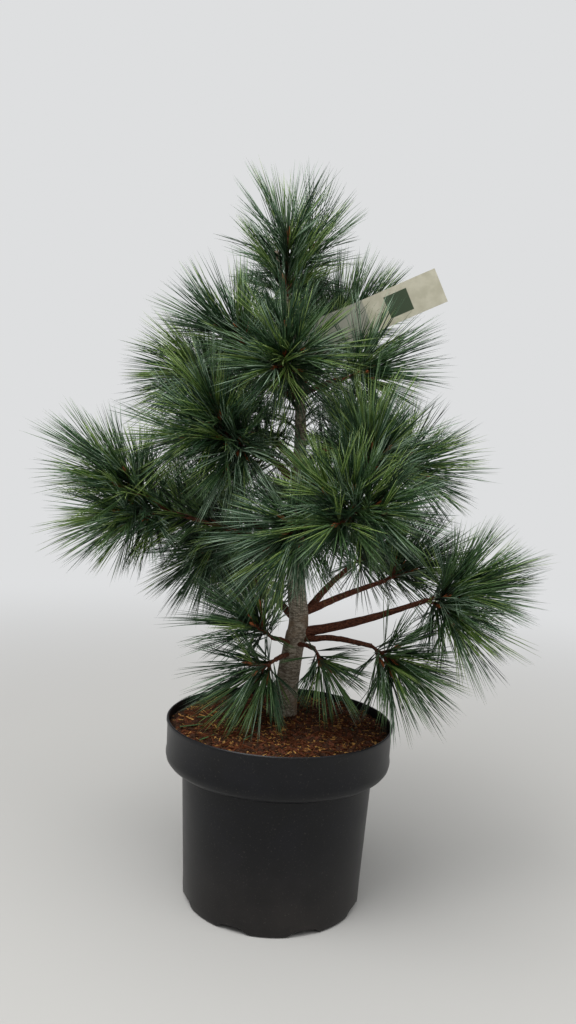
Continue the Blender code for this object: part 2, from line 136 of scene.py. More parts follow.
def ranged(tree, value, low, high):
    """A value from 0 to 1 stretched to run from low to high."""
    inputs = {"Value": value, "To Min": low, "To Max": high}
    return add_node(tree, "ShaderNodeMapRange", inputs).outputs[0]


def arithmetic(tree, operation, first, second=0.0):
    """The result of a sum on one or two values."""
    return add_node(tree, "ShaderNodeMath", {0: first, 1: second}, operation=operation).outputs[0]


def object_place(tree):
    """Where a point of the surface is, in metres."""
    return add_node(tree, "ShaderNodeTexCoord").outputs["Object"]


def soft_noise(tree, place, width, detail, roughness=0.5):
    """Noise whose largest features are about as wide as given, in metres."""
    inputs = {"Vector": place, "Scale": 1 / width, "Detail": detail, "Roughness": roughness}
    return add_node(tree, "ShaderNodeTexNoise", inputs).outputs["Fac"]


def add_bump(tree, shader, height, distance, strength):
    """Give a shader fine relief that rises by the distance given, in metres."""
    bump = add_node(tree, "ShaderNodeBump", {"Height": height, "Distance": distance, "Strength": strength})
    tree.links.new(bump.outputs[0], shader.inputs["Normal"])


# %% [markdown]
# Small things such as needles come in tens of thousands. They are worked out as arrays of
# points and turned into one mesh each kind, which is quick and keeps every needle solid.

# %% Mesh helpers
def mesh_piece(name, points, faces, surfaces, face_surface=None, smooth=True):
    """An object from an array of points and an array of triangles."""
    mesh = bpy.data.meshes.new(name)
    points = np.ascontiguousarray(points, dtype=np.float32)
    faces = np.ascontiguousarray(faces, dtype=np.int32)
    mesh.vertices.add(len(points))
    mesh.vertices.foreach_set("co", points.ravel())
    mesh.loops.add(faces.size)
    mesh.loops.foreach_set("vertex_index", faces.ravel())
    mesh.polygons.add(len(faces))
    mesh.polygons.foreach_set("loop_start", np.arange(0, faces.size, 3, dtype=np.int32))
    if face_surface is not None:
        mesh.polygons.foreach_set("material_index", np.ascontiguousarray(face_surface, dtype=np.int32))
    mesh.polygons.foreach_set("use_smooth", np.full(len(faces), smooth))
    mesh.update(calc_edges=True)
    for surface in surfaces:
        mesh.materials.append(surface)
    made = bpy.data.objects.new(name, mesh)
    bpy.context.scene.collection.objects.link(made)
    return made


def joined(parts):
    """One pair of point and triangle arrays from many."""
    points, faces, count = [], [], 0
    for part_points, part_faces in parts:
        points.append(part_points)
        faces.append(part_faces + count)
        count += len(part_points)
    return np.concatenate(points), np.concatenate(faces)


def tube_arrays(line, radii, sides, relief=None):
    """A closed tube along a line. relief(point) is added to the radius."""
    line, radii = [Vector(p) for p in line], [float(radius) for radius in radii]
    points, across = [], Vector((1, 0, 0))
    if abs((line[-1] - line[0]).normalized().x) > 0.8:
        across = Vector((0, 1, 0))
    for i, centre in enumerate(line):
        along = (line[min(i + 1, len(line) - 1)] - line[max(i - 1, 0)]).normalized()
        across = (across - along * across.dot(along)).normalized()
        side = along.cross(across)
        for k in range(sides):
            angle = math.tau * k / sides
            out = math.cos(angle) * across + math.sin(angle) * side
            radius = radii[i] + (relief(centre + radii[i] * out) if relief else 0)
            points.append(centre + radius * out)
    points += [line[0], line[-1]]
    first, last = len(points) - 2, len(points) - 1
    faces = []
    for i in range(len(line) - 1):
        for k in range(sides):
            a, b = i * sides + k, i * sides + (k + 1) % sides
            faces += [(a, b, b + sides), (a, b + sides, a + sides)]
    top = (len(line) - 1) * sides
    for k in range(sides):
        n = (k + 1) % sides
        faces += [(first, n, k), (last, top + k, top + n)]
    return np.array(points), np.array(faces)


def merged_mesh(node):
    """A CAD node's points and triangles with its doubles merged."""
    shape = bmesh.new()
    shape.from_mesh(nodes[node].data)
    bmesh.ops.remove_doubles(shape, verts=shape.verts, dist=1e-5)
    bmesh.ops.triangulate(shape, faces=shape.faces)
    points = [v.co.copy() for v in shape.verts]
    faces = [[v.index for v in f.verts] for f in shape.faces]
    shape.free()
    return points, faces


def centre_line(node, stations):
    """Centres and radii of a limb's rings, from the CAD node's points."""
    points, _ = merged_mesh(node)
    far = max(points, key=lambda p: (p - points[0]).length)
    near = max(points, key=lambda p: (p - far).length)
    if math.hypot(near.x, near.y) > math.hypot(far.x, far.y) and node != "trunk":
        near, far = far, near
    if node == "trunk" and near.z > far.z:
        near, far = far, near
    along = (far - near).normalized()
    length = (far - near).length
    points.sort(key=lambda p: (p - near).dot(along))
    # A step of a fifth of the usual spacing starts the next ring.
    groups, last = [[]], 0
    for point in points:
        place = (point - near).dot(along)
        if groups[-1] and place - last > 0.2 * length / (stations - 1):
            groups.append([])
        groups[-1].append(point)
        last = place
    centres = [sum(group, Vector()) / len(group) for group in groups]
    radii = [sum((p - c).length for p in group) / len(group) for group, c in zip(groups, centres)]
    return centres, radii


def resampled(line, radii, count):
    """The line and its radii at evenly spaced places along a smooth curve through them."""
    ends = [2 * line[0] - line[1], *line, 2 * line[-1] - line[-2]]
    made, sizes = [], []
    for step in range(count):
        place = step / (count - 1) * (len(line) - 1)
        i = min(int(place), len(line) - 2)
        t = place - i
        a, b, c, d = ends[i : i + 4]
        bend, twist = 2 * a - 5 * b + 4 * c - d, 3 * b - a - 3 * c + d
        curve = 2 * b + (c - a) * t + bend * t**2 + twist * t**3
        made.append(0.5 * curve)
        sizes.append(radii[i] + (radii[i + 1] - radii[i]) * t)
    return made, sizes


# %% [markdown]
# The container is moulded polypropylene: near black, a little glossy, and dusty from the
# nursery. Dust gathers towards the foot, so the colour follows the height and a soft noise, and
# the roughness follows the noise alone. The bloom is 40 mm wide and the specks 2 mm.

# %% Container
MM = 0.001
BLOOM_WIDTH = 40 * MM
SPECK_WIDTH = 2 * MM
DUST_HEIGHT = 0.13
SPECK_SHARE = 0.25
polypropylene, tree, shader = new_material("moulded polypropylene", "0a0b10", 0.36, 0.28)
place = object_place(tree)
height = add_node(tree, "ShaderNodeSeparateXYZ", {0: place}).outputs["Z"]
bloom = soft_noise(tree, place, BLOOM_WIDTH, 6.0)
specks = soft_noise(tree, place, SPECK_WIDTH, 2.0)
dusty = arithmetic(tree, "MULTIPLY", bloom, stepped(tree, height, DUST_HEIGHT, 0.0))
speckled = arithmetic(tree, "MULTIPLY", stepped(tree, specks, 0.62, 0.75), SPECK_SHARE)
clean = mixed(tree, stepped(tree, bloom, 0.35, 0.7), "05060a", "0b0c12")
with_dust = mixed(tree, dusty, clean, "2b2724")
tree.links.new(mixed(tree, speckled, with_dust, "57524c"), shader.inputs["Base Color"])
tree.links.new(ranged(tree, bloom, 0.3, 0.5), shader.inputs["Roughness"])
add_bump(tree, shader, bloom, 0.6 * MM, 0.25)

pot_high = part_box("pot")[1]
POT_HEIGHT = pot_high.z
RIM_RADIUS = pot_high.x
FOOT_RADIUS = 0.112
NECK_RADIUS = 0.1205
COLLAR_HEIGHT = 0.045
SHOULDER_HEIGHT = 0.014
WALL = 0.0018
FLOOR_THICKNESS = 0.009
FOOT_ROUND = 0.003
SIDE_START = 0.010
COLLAR_INSET = 0.001
NOTCH_COUNT = 8
NOTCH_WIDTH = 0.038
NOTCH_HEIGHT = 0.007
NOTCH_DEPTH = 0.010
NOTCH_SLOPE = 0.002
POT_SEGMENTS = 192
# Millimetres in from the rim's radius and up from the shoulder, then down from the top.
COLLAR_OUTLINE = ((0.8, 3.0), (1.6, 8.0))
LIP_OUTLINE = ((1.2, 6.0), (0.0, 3.5), (0.2, 1.0), (1.2, 0.0), (2.6, 0.6))


def notch(angle):
    """How high the foot is cut away at an angle: an arch in the middle of each eighth."""
    eighth = math.tau / NOTCH_COUNT
    off = (angle % eighth) - eighth / 2
    share = abs(off) * FOOT_RADIUS / (NOTCH_WIDTH / 2)
    return NOTCH_HEIGHT * math.sqrt(max(0.0, 1 - share**4))


def pot_profile():
    """(radius, height, follows the notch) round the container's section, from the underside's centre."""
    shoulder = POT_HEIGHT - COLLAR_HEIGHT
    neck = shoulder - SHOULDER_HEIGHT
    back = FOOT_RADIUS - NOTCH_DEPTH
    foot = [(0.0, 0.0, 0), (back - NOTCH_SLOPE, 0.0, 0), (back, 0.0, 1), (FOOT_RADIUS - FOOT_ROUND, 0.0, 1)]
    for share in (0.33, 0.66, 1.0):
        turn = share * math.pi / 2
        radius = FOOT_RADIUS - FOOT_ROUND * (1 - math.sin(turn))
        foot.append((radius, FOOT_ROUND * (1 - math.cos(turn)), 1))
    side = [(FOOT_RADIUS + 0.4 * MM, SIDE_START, 0)]
    for share in np.linspace(0.1, 1, 10):
        radius = FOOT_RADIUS + (NECK_RADIUS - FOOT_RADIUS) * share
        side.append((radius, SIDE_START + (neck - SIDE_START) * share, 0))
    step_out = RIM_RADIUS - COLLAR_INSET - NECK_RADIUS
    for share in np.linspace(0.2, 1, 5):
        turn = share * math.pi / 2
        side.append((NECK_RADIUS + step_out * math.sin(turn), shoulder - SHOULDER_HEIGHT * math.cos(turn), 0))
    collar = [(RIM_RADIUS - inset * MM, shoulder + rise * MM, 0) for inset, rise in COLLAR_OUTLINE]
    collar += [(RIM_RADIUS - inset * MM, POT_HEIGHT - drop * MM, 0) for inset, drop in LIP_OUTLINE]
    inside = [(RIM_RADIUS - 3 * MM, POT_HEIGHT - 4 * MM, 0)]
    inside += [(radius - WALL, height, 0) for radius, height, _ in reversed(side)]
    inside += [(FOOT_RADIUS - 4 * MM, FLOOR_THICKNESS, 0), (0.0, FLOOR_THICKNESS, 0)]
    return foot + side + collar + inside


points, faces = [], []
profile = pot_profile()
for radius, height, follows in profile:
    for k in range(POT_SEGMENTS):
        angle = math.tau * k / POT_SEGMENTS
        lifted = max(height, follows * notch(angle))
        points.append((radius * math.cos(angle), radius * math.sin(angle), lifted))
for row in range(len(profile) - 1):
    for k in range(POT_SEGMENTS):
        a, b = row * POT_SEGMENTS + k, row * POT_SEGMENTS + (k + 1) % POT_SEGMENTS
        faces += [(a, b, b + POT_SEGMENTS), (a, b + POT_SEGMENTS, a + POT_SEGMENTS)]
container = mesh_piece("container", np.array(points), np.array(faces), [polypropylene])
shape = bmesh.new()
shape.from_mesh(container.data)
bmesh.ops.remove_doubles(shape, verts=shape.verts, dist=1e-6)
bmesh.ops.recalc_face_normals(shape, faces=shape.faces)
shape.to_mesh(container.data)
shape.free()
container.data.set_sharp_from_angle(angle=math.radians(40))
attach(container, "root")
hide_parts("pot")
print("container", len(container.data.polygons), "faces")

# %% [markdown]
# The potting mix is bark and peat: a dark lumpy surface under a litter of chips, fibres and
# dead needles. The surface is a disc whose height follows the plain solid, found by looking
# straight down on it, with finer lumps added.

# %% Soil surface
potting_mix, tree, shader = new_material("moist bark and peat mix", "2a1a10", 0.9, 0.25)
place = object_place(tree)
lumps = soft_noise(tree, place, 9 * MM, 8.0)
grains = add_node(tree, "ShaderNodeTexVoronoi", {"Vector": place, "Scale": 1 / (3.5 * MM)})
brown = mixed(tree, stepped(tree, lumps, 0.35, 0.68), "150d08", "4a2e1b")
grain_shade = add_node(tree, "ShaderNodeSeparateColor", {0: grains.outputs["Color"]}).outputs[0]
tan_share = stepped(tree, grain_shade, 0.86, 0.9)
tree.links.new(mixed(tree, tan_share, brown, "7d5a35"), shader.inputs["Base Color"])
add_bump(tree, shader, grains.outputs["Distance"], 1.5 * MM, 0.6)

soil_points, soil_faces = merged_mesh("soil")
soil_tree = BVHTree.FromPolygons(soil_points, soil_faces)


def soil_height(x, y):
    """The height of the plain soil at a place."""
    return soil_tree.ray_cast(Vector((x, y, 1.0)), Vector((0, 0, -1)))[0].z


SOIL_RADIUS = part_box("soil")[1].x - 0.0004
SOIL_RINGS = 70
SOIL_SEGMENTS = 160
SOIL_EDGE = 0.002
LUMP_HEIGHT = 0.0022
LUMPS_PER_METRE = 90
SOIL_UNDERSIDE = POT_HEIGHT - 0.03
points, faces = [(0.0, 0.0, soil_height(0.0, 0.0))], []
for ring in range(1, SOIL_RINGS + 1):
    radius = SOIL_RADIUS * ring / SOIL_RINGS
    for k in range(SOIL_SEGMENTS):
        angle = math.tau * k / SOIL_SEGMENTS
        x, y = radius * math.cos(angle), radius * math.sin(angle)
        inside = min(radius, SOIL_RADIUS - SOIL_EDGE) / radius
        spot = Vector((LUMPS_PER_METRE * x, LUMPS_PER_METRE * y, 0.3))
        lump = LUMP_HEIGHT * noise.fractal(spot, 1.0, 2.0, 4)
        points.append((x, y, soil_height(x * inside, y * inside) + lump))
for k in range(SOIL_SEGMENTS):
    faces.append((0, 1 + k, 1 + (k + 1) % SOIL_SEGMENTS))
for ring in range(SOIL_RINGS - 1):
    for k in range(SOIL_SEGMENTS):
        a, b = 1 + ring * SOIL_SEGMENTS + k, 1 + ring * SOIL_SEGMENTS + (k + 1) % SOIL_SEGMENTS
        faces += [(a, a + SOIL_SEGMENTS, b), (b, a + SOIL_SEGMENTS, b + SOIL_SEGMENTS)]
soil_top = len(points)
for k in range(SOIL_SEGMENTS):
    angle = math.tau * k / SOIL_SEGMENTS
    radius = SOIL_RADIUS - SOIL_EDGE / 2
    points.append((radius * math.cos(angle), radius * math.sin(angle), SOIL_UNDERSIDE))
points.append((0.0, 0.0, SOIL_UNDERSIDE))
for k in range(SOIL_SEGMENTS):
    n = (k + 1) % SOIL_SEGMENTS
    rim = 1 + (SOIL_RINGS - 1) * SOIL_SEGMENTS
    faces += [(rim + k, soil_top + k, rim + n), (rim + n, soil_top + k, soil_top + n)]
    faces.append((soil_top + k, len(points) - 1, soil_top + n))
soil = mesh_piece("soil_surface", np.array(points), np.array(faces), [potting_mix])
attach(soil, "root")
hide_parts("soil")
print("soil", len(soil.data.polygons), "faces")

# %% [markdown]
# The litter repeats one small shape thousands of times, which is a job for Geometry Nodes:
# points are scattered over the soil, a chip is set on each with its own turn and size, and the
# copies are made real. One tree of nodes makes chips, fibres and fallen needles alike.

# %% Litter
def scatter_tree(name, chip, surface, lean):
    """A node group that scatters a chip, leaning up to an angle, and its sockets' identifiers."""
    group = bpy.data.node_groups.new(name, "GeometryNodeTree")
    sides = {}
    for label, way, kind in (
        ("Geometry", "INPUT", "NodeSocketGeometry"),
        ("Pieces per square metre", "INPUT", "NodeSocketFloat"),
        ("Smallest size", "INPUT", "NodeSocketFloat"),
        ("Largest size", "INPUT", "NodeSocketFloat"),
        ("Seed", "INPUT", "NodeSocketInt"),
        ("Pieces", "OUTPUT", "NodeSocketGeometry"),
    ):
        sides[label] = group.interface.new_socket(label, in_out=way, socket_type=kind).identifier
    given = add_node(group, "NodeGroupInput").outputs
    scattered = add_node(
        group,
        "GeometryNodeDistributePointsOnFaces",
        {"Mesh": given["Geometry"], "Density": given["Pieces per square metre"], "Seed": given["Seed"]},
    )
    tilt = add_node(
        group,
        "FunctionNodeRandomValue",
        {0: (-lean, -lean, 0.0), 1: (lean, lean, math.tau), "Seed": given["Seed"]},
        data_type="FLOAT_VECTOR",
    )
    size = add_node(
        group,
        "FunctionNodeRandomValue",
        {2: given["Smallest size"], 3: given["Largest size"], "Seed": given["Seed"]},
        data_type="FLOAT",
    )
    shown = add_node(group, "GeometryNodeObjectInfo", {"Object": chip})
    placed = add_node(
        group,
        "GeometryNodeInstanceOnPoints",
        {
            "Points": scattered.outputs["Points"],
            "Instance": shown.outputs["Geometry"],
            "Rotation": tilt.outputs[0],
            "Scale": size.outputs[1],
        },
    )
    real = add_node(group, "GeometryNodeRealizeInstances", {0: placed.outputs[0]})
    inputs = {"Geometry": real.outputs[0], "Material": surface}
    finished = add_node(group, "GeometryNodeSetMaterial", inputs)
    add_node(group, "NodeGroupOutput", {"Pieces": finished.outputs[0]})
    return group, sides


def scattered_piece(name, chip, surface, lean, values):
    """Scatter a chip over the soil's top and return the result as a plain mesh object."""
    group, sides = scatter_tree(name + "_scatter", chip, surface, lean)
    carrier = bpy.data.objects.new(name + "_carrier", ground_mesh(values["Largest size"] / 2))
    bpy.context.scene.collection.objects.link(carrier)
    modifier = carrier.modifiers.new("scatter", "NODES")
    modifier.node_group = group
    for label, value in values.items():
        modifier[sides[label]] = value
    graph = bpy.context.evaluated_depsgraph_get()
    mesh = bpy.data.meshes.new_from_object(carrier.evaluated_get(graph))
    bpy.data.objects.remove(carrier)
    mesh.name = name
    made = bpy.data.objects.new(name, mesh)
    bpy.context.scene.collection.objects.link(made)
    return made


def ground_mesh(margin):
    """The open top of the soil, up to a margin from the wall, so that nothing pierces the wall."""
    shape = bmesh.new()
    shape.from_mesh(soil.data)
    edge = SOIL_RADIUS - SOIL_EDGE - margin
    away = [v for v in shape.verts if v.index >= soil_top or v.co.xy.length > edge]
    bmesh.ops.delete(shape, geom=away, context="VERTS")
    mesh = bpy.data.meshes.new("soil_ground")
    shape.to_mesh(mesh)
    shape.free()
    return mesh


def chip_object(name, size, jitter, seed):
    """A slab with uneven corners, one unit long, which is scaled down where it is placed."""
    rng = np.random.default_rng(seed)
    shape = bmesh.new()
    bmesh.ops.create_cube(shape, size=1, matrix=Matrix.Diagonal((*size, 1)))
    long_edges = [e for e in shape.edges if e.calc_length() > 0.7 * max(size)]
    bmesh.ops.subdivide_edges(shape, edges=long_edges, cuts=1)
    for vert in shape.verts:
        vert.co += Vector(rng.uniform(-jitter, jitter, 3)) * max(size) * 0.5
    bmesh.ops.triangulate(shape, faces=shape.faces)
    mesh = bpy.data.meshes.new(name)
    shape.to_mesh(mesh)
    shape.free()
    return bpy.data.objects.new(name, mesh)


# Name, colour, roughness, proportions, unevenness, pieces per square metre, shortest and
# longest in millimetres, and the largest lean in radians.
LITTER = (
    ("chips_dark", "3b2416", 0.85, (1.0, 0.55, 0.22), 0.22, 30000, 4, 11, 0.6),
    ("chips_red", "5d3320", 0.8, (1.0, 0.4, 0.16), 0.2, 14000, 4, 10, 0.6),
    ("chips_tan", "a0763f", 0.75, (1.0, 0.35, 0.14), 0.2, 17000, 3, 8, 0.6),
    ("fibres_brown", "5a3018", 0.85, (1.0, 0.05, 0.05), 0.06, 30000, 12, 34, 0.25),
    ("fibres_golden", "b08346", 0.75, (1.0, 0.05, 0.05), 0.06, 15000, 8, 20, 0.4),
    ("needles_fallen", "46603a", 0.5, (1.0, 0.018, 0.014), 0.01, 320, 55, 85, 0.05),
)
for seed, kind in enumerate(LITTER):
    name, colour, roughness, size, jitter, density, smallest, largest, lean = kind
    surface = new_material(name.replace("_", " "), colour, roughness, 0.25)[0]
    values = {
        "Pieces per square metre": float(density),
        "Smallest size": smallest * MM,
        "Largest size": largest * MM,
        "Seed": seed,
    }
    chip = chip_object(name + "_chip", size, jitter, seed)
    made = scattered_piece(name, chip, surface, lean, values)
    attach(made, "root")
    print(name, len(made.data.polygons), "faces")

# %% [markdown]
# Young white pine bark is smooth and grey-brown on the trunk, with fine cracks and level rings
# where whorls of boughs leave, and red-brown and scaly on the boughs. Both are tubes along the
# plain solids' own centre lines, with relief of up to about two millimetres.

# %% Bark
def bark_material(name, dark, pale, stain, scale_mm):
    """Bark with level streaks, blotches and fine cracks."""
    made, tree, shader = new_material(name, pale, 0.85, 0.3)
    place = object_place(tree)
    squeezed = add_node(tree, "ShaderNodeMapping", {"Vector": place, "Scale": (1.0, 1.0, 2.6)}).outputs[0]
    streaks = soft_noise(tree, squeezed, scale_mm * MM, 9.0, 0.62)
    blotches = soft_noise(tree, place, 28 * MM, 3.0)
    inputs = {"Vector": squeezed, "Scale": 1 / (2 * scale_mm * MM)}
    cracks = add_node(tree, "ShaderNodeTexVoronoi", inputs, feature="DISTANCE_TO_EDGE")
    base = mixed(tree, stepped(tree, streaks, 0.36, 0.64), dark, pale)
    stained = mixed(tree, stepped(tree, blotches, 0.48, 0.66), base, stain)
    crack_share = stepped(tree, cracks.outputs["Distance"], 0.06, 0.0)
    tree.links.new(mixed(tree, crack_share, stained, dark), shader.inputs["Base Color"])
    add_bump(tree, shader, streaks, 0.5 * MM, 0.8)
    return made


trunk_bark = bark_material("young white pine bark", "6a5f52", "b5aa9a", "85705c", 5)
bough_bark = bark_material("red-brown bough bark", "3a1f16", "7d4a34", "5b3223", 3)

TRUNK_STATIONS = 20
BOUGH_STATIONS = 6
TRUNK_POINTS = 170
BOUGH_POINTS = 26
TRUNK_SIDES = 40
BOUGH_SIDES = 12
trunk_centres, trunk_radii = centre_line("trunk", TRUNK_STATIONS)
trunk_line, trunk_sizes = resampled(trunk_centres, trunk_radii, TRUNK_POINTS)
WHORL_HEIGHTS = (0.333, 0.436, 0.530, 0.634)
SWELLING, GRAIN, WHORL_RING = 0.0007, 0.0004, 0.0012
WHORL_RING_HALF_HEIGHT = 0.006
SCALES, SCALE_GRAIN = 0.0005, 0.0004
ROOT_FLARE_OF_BOUGH = 1.15


def trunk_relief(point):
    """Bark relief: blotchy swellings, fine grain and a low ring at each whorl."""
    coarse = SWELLING * noise.noise(point * 60)
    fine = GRAIN * noise.noise(Vector((point.x * 160, point.y * 160, point.z * 420)))
    rings = sum(math.exp(-(((point.z - z) / WHORL_RING_HALF_HEIGHT) ** 2)) for z in WHORL_HEIGHTS)
    return coarse + fine + WHORL_RING * rings


trunk_tube = tube_arrays(trunk_line, trunk_sizes, TRUNK_SIDES, trunk_relief)
trunk_piece = mesh_piece("trunk_bark", *trunk_tube, [trunk_bark])
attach(trunk_piece, "root")
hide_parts("trunk")


def nearest_on_trunk(point):
    """The point of the trunk's centre line that is nearest to a place."""
    return min(trunk_line, key=lambda p: (p - point).length)


def bough_relief(point):
    """The relief of scaly young bark."""
    return SCALES * noise.noise(point * 130) + SCALE_GRAIN * noise.noise(point * 320)


limbs, bough_parts = {}, []
for name in bough_names:
    centres, radii = centre_line(name, BOUGH_STATIONS)
    centres[0] = nearest_on_trunk(centres[0] - 0.4 * (centres[1] - centres[0]))
    radii[0] = radii[1] * ROOT_FLARE_OF_BOUGH
    line, sizes = resampled(centres, radii, BOUGH_POINTS)
    limbs[name] = (line, sizes)
    bough_parts.append(tube_arrays(line, sizes, BOUGH_SIDES, bough_relief))
boughs = mesh_piece("bough_bark", *joined(bough_parts), [bough_bark])
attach(boughs, "root")
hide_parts(*bough_names)
print("trunk and boughs", len(trunk_piece.data.polygons) + len(boughs.data.polygons), "faces")

# %% [markdown]
# Needles are plain base colours, because a pattern on so many small faces would be lost. The
# colours are dealt out by fascicle, and each spray leans to one of them. A white pine needle is
# green outside and whitish blue on its two inner sides, so each needle has two materials.

# %% Needle colours
NEEDLE_TONES = {
    "deep": ("15300f", "38563a", 0.30),
    "green": ("2b4a1b", "5f7d50", 0.26),
    "blue": ("25452b", "8ea68c", 0.17),
    "fresh": ("476822", "88a05a", 0.16),
    # The shade tone is painted shade: near-black needles that stand for those in the crown's shadow, dealt
    # out at random like the rest.
    "shade": ("0c1c0a", "243a22", 0.11),
}
needle_surfaces = {}
for tone, (outer, inner, _) in NEEDLE_TONES.items():
    needle_surfaces[tone] = [
        new_material(f"pine needle outer {tone}", outer, 0.42, 0.45)[0],
        new_material(f"pine needle inner {tone}", inner, 0.5, 0.4)[0],
    ]

# %% [markdown]
# A tuft grows by one rule. A shoot runs on from the bough's end along the tuft's axis, and side
# shoots leave it in a spiral. A side shoot stops about where its needles reach the plain
# solid's surface, which a ray cast from inside measures. The higher boughs' outer parts and the
# leader's stem carry needles of their own.

# %% Shoots
SEED = 20260
NEEDLE_LENGTH = 0.102
LONGEST_MAIN_SHOOT, SHORTEST_MAIN_SHOOT = 0.12, 0.03
LONGEST_SIDE_SHOOT, SHORTEST_SIDE_SHOOT = 0.06, 0.016
MAIN_LIFT, SIDE_LIFT = 0.08, 0.12
SIDE_LEAN = (32, 50)
FIRST_SIDE_SHOOT, SIDE_SHOOT_SPAN = 0.10, 0.62
NEEDLE_REACH = 0.72
LONG_TUFT, SPARSE = 0.14, 0.5
MANY_SHOOTS, USUAL_SHOOTS, FEW_SHOOTS = 5, 4, 2
LEADER_ENTRY_DEPTH = 0.004
UP = np.array((0.0, 0.0, 1.0))
rng = np.random.default_rng(SEED)
tone_names = list(NEEDLE_TONES)
tone_shares = np.array([share for _, _, share in NEEDLE_TONES.values()])


def unit(vector):
    """The vector at length one."""
    return vector / np.linalg.norm(vector)


def perpendicular(direction):
    """Two unit vectors square to a direction and to each other."""
    helper = UP if abs(direction[2]) < 0.9 else np.array((1.0, 0.0, 0.0))
    first = unit(np.cross(direction, helper))
    return first, np.cross(direction, first)


# How far a tuft's axis is nudged, its share of the usual needles, and their share of the length.
USUAL = ((0, 0, 0), 1.0, 1.0)
UNLIKE_THE_REST = {
    "needles_low_front": ((-0.55, -0.15, -0.25), 0.75, 1.0),
    "needles_low_mid": ((0.30, 0.0, -0.10), 0.30, 0.80),
}


class Tuft:
    """A plain mass's surface, the point where its limb enters, and the way it grows."""

    def __init__(self, name):
        points, faces = merged_mesh(name)
        self.name = name
        self.tree = BVHTree.FromPolygons(points, faces)
        owner = max((b for b in bough_names if name[8:].startswith(b[6:])), key=len, default=None)
        self.owner = owner
        if owner:
            self.entry = np.array(limbs[owner][0][-1])
        else:
            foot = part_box(name)[0].z
            self.entry = np.array(min(trunk_line, key=lambda p: abs(p.z - foot - LEADER_ENTRY_DEPTH)))
        cloud = np.array(points)
        nudge, self.density, self.needle_share = UNLIKE_THE_REST.get(name, USUAL)
        self.axis = unit(unit(cloud.mean(axis=0) - self.entry) + np.array(nudge))
        self.length = float(((cloud - self.entry) @ self.axis).max())

    def reach(self, start, direction):
        """Distance from a point inside to the mass's surface, or half a needle outside it."""
        hit = self.tree.ray_cast(Vector(start), Vector(direction))
        return hit[3] if hit[0] else NEEDLE_LENGTH / 2


def shoot_line(start, direction, length, lift):
    """Points along a shoot that bends a little up."""
    steps = np.linspace(0, 1, 7)[:, None]
    return start + length * (steps * direction + lift * steps**2 * UP)


def shoots_of(tuft):
    """The line of each shoot of a tuft, the main one first."""
    main_length = max(SHORTEST_MAIN_SHOOT, min(tuft.length - NEEDLE_LENGTH, LONGEST_MAIN_SHOOT))
    main = shoot_line(tuft.entry, tuft.axis, main_length, MAIN_LIFT)
    shoots = [main]
    first, second = perpendicular(tuft.axis)
    count = MANY_SHOOTS if tuft.length > LONG_TUFT else USUAL_SHOOTS
    if tuft.density < SPARSE:
        count = FEW_SHOOTS
    for k in range(count):
        turn = 2.4 * k + rng.uniform(-0.4, 0.4)
        lean = math.radians(rng.uniform(*SIDE_LEAN))
        out = math.cos(turn) * first + math.sin(turn) * second
        direction = unit(math.cos(lean) * tuft.axis + math.sin(lean) * out)
        share = FIRST_SIDE_SHOOT + SIDE_SHOOT_SPAN * (k + rng.uniform(0, 0.5)) / count
        start = tuft.entry + share * (main[-1] - tuft.entry)
        free = tuft.reach(start, direction) - NEEDLE_REACH * NEEDLE_LENGTH
        length = min(max(free, SHORTEST_SIDE_SHOOT), LONGEST_SIDE_SHOOT)
        shoots.append(shoot_line(start, direction, length, SIDE_LIFT))
    return shoots


tufts = [Tuft(name) for name in mass_names]
plan = [(tuft, line) for tuft in tufts for line in shoots_of(tuft)]
print("shoots", len(plan))

# %% [markdown]
# A fascicle is five needles from one point. Fascicles stand round the shoot in a spiral, wide
# open at its foot and nearly straight ahead at its tip. A needle is a three-sided tapering
# blade in two bends, 16 triangles, and a good third wider than life so that it shows.

# %% Needles
NEEDLE_WIDTH = 0.0011
FASCICLES_PER_METRE = 760
BOUGH_DENSITY = 420
FEWEST_FASCICLES = 16
NEEDLES_PER_FASCICLE = 5
GOLDEN_TURN = 2.39996
WIDEST, NARROWEST, NARROWEST_ON_LEADER = 62, 14, 24
ANGLES_ON_BOUGH, ANGLES_ON_STEM = (66, 48), (70, 50)
SHARE_OF_SHOOT_BARE, SHARE_OF_BOUGH_BARE = 0.1, 0.35
LENGTH_ON_BOUGH, LENGTH_ON_STEM = 0.088, 0.085
SHORTEST_SHARE, SPARE_SHARE = 0.70, 0.3
NEEDLE_FALL, NEEDLE_BEND = 0.06, 0.04
FAVOURITE_SHARE = 0.4
LOWEST_CLOTHED_BOUGH = 0.43
LEADER_STEM = (0.50, 0.73)
MOST_NEEDLES_IN_A_PIECE = 12400
BLADE_STATIONS = ((0.0, 0.62), (0.38, 1.0), (0.74, 0.74))
BLADE_CORNERS = (math.pi, math.pi / 3, -math.pi / 3)
BLADE_FACES = [(0, 2, 1)]
for ring in (0, 3):
    for k in range(3):
        n = (k + 1) % 3
        BLADE_FACES += [(ring + k, ring + n, ring + 3 + n), (ring + k, ring + 3 + n, ring + 3 + k)]
BLADE_FACES += [(6 + k, 6 + (k + 1) % 3, 9) for k in range(3)]
BLADE_FACES = np.array(BLADE_FACES)
OUTER_FACES = [3, 4, 9, 10, 14]
BLADE_SURFACE = np.ones(len(BLADE_FACES), dtype=int)
BLADE_SURFACE[OUTER_FACES] = 0


